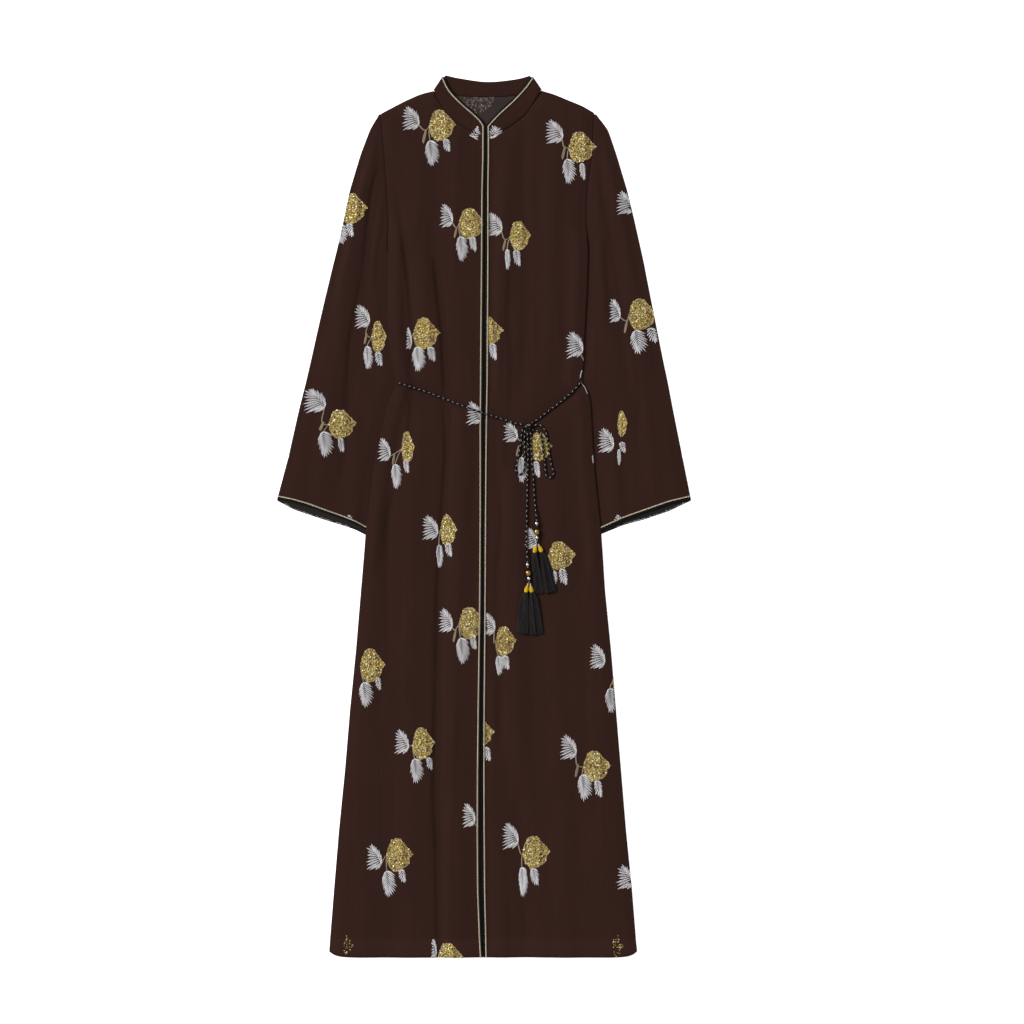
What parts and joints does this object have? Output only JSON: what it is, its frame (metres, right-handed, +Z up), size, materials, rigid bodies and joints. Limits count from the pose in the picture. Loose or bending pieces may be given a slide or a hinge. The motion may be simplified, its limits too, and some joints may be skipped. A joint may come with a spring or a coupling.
{
  "type": "abaya",
  "caption": "Full-length open-front abaya laid flat, with stand collar, flared sleeves, gold-cord trimmed edges and a cord belt tied in a bow with beads and tassels.",
  "frame": {"origin": "middle of the garment's outline on the surface that it lies on", "axes": "+Y towards the neck, +X to the right as seen in the picture, +Z up out of the front"},
  "size_m": [0.6624, 1.4106, 0.0156],
  "materials": {
    "cloth": "matt dark plum-brown crepe",
    "edging": "black satin binding",
    "gold_thread": "twisted metallic gold cord",
    "belt_cord": "braided black cord with silver flecks",
    "silver_bead": "polished",
    "gold_bead": "polished",
    "tassel_cap": "wound yellow thread",
    "tassel_thread": "charcoal silky thread"
  },
  "bodies": {
    "root": {"back": "cloth", "front_left": "cloth", "front_right": "cloth", "sleeve_left": "cloth", "sleeve_right": "cloth", "collar": "cloth", "edging_left": "edging", "edging_right": "edging", "cuff_edging_left": "edging", "cuff_edging_right": "edging", "gold_cord_left": "gold_thread", "gold_cord_right": "gold_thread", "cuff_gold_left": "gold_thread", "cuff_gold_right": "gold_thread", "belt_front_left": "belt_cord", "belt_front_right": "belt_cord", "belt_knot": "belt_cord", "bow_loop_left": "belt_cord", "bow_loop_right": "belt_cord", "belt_tail_left": "belt_cord", "belt_tail_right": "belt_cord", "bead_left_silver_upper": "silver_bead", "bead_left_gold": "gold_bead", "bead_left_silver_lower": "silver_bead", "bead_right_silver_upper": "silver_bead", "bead_right_gold": "gold_bead", "bead_right_silver_lower": "silver_bead", "cap_left_a": "tassel_cap", "cap_left_b": "tassel_cap", "cap_right_a": "tassel_cap", "cap_right_b": "tassel_cap", "tassel_left_a": "tassel_thread", "tassel_left_b": "tassel_thread", "tassel_right_a": "tassel_thread", "tassel_right_b": "tassel_thread"}
  },
  "joints": []
}
